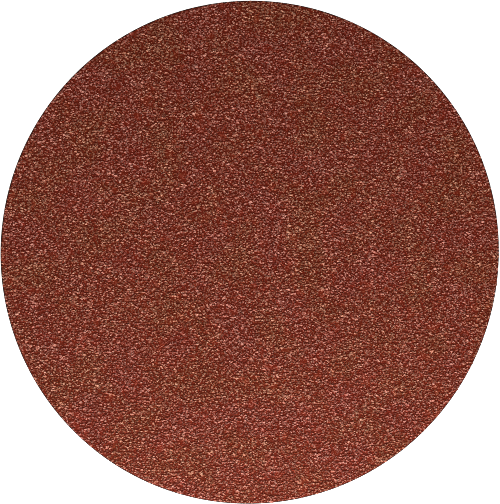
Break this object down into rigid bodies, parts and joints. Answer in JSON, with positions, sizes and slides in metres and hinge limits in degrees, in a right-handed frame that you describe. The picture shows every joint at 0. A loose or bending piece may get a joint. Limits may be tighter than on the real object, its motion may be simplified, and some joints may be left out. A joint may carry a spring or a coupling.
{
  "type": "self-adhesive sanding disc",
  "caption": "Round coarse-grit sanding disc on a stiff cloth backing, with an adhesive back under a peel-off paper liner.",
  "frame": {"origin": "centre of the release liner's outer face, which is the lowest face of the disc as it lies with its grit up", "axes": "+Z from the liner up through the grit face, along the axis that the disc spins about on its sander; +X and +Y are any two square directions in the liner's face"},
  "size_m": [0.15, 0.15, 0.0015],
  "materials": {
    "grit": "coarse red-brown aluminium oxide grains bonded with resin, sharp, half matt with small bright facets",
    "backing_cloth": "red-brown resin-filled twill cloth, seen at the cut edge",
    "liner_paper": "pale brown siliconised release paper, smooth with a slight sheen"
  },
  "bodies": {
    "root": {"sanding_disc": "grit", "release_liner": "liner_paper"}
  },
  "joints": []
}
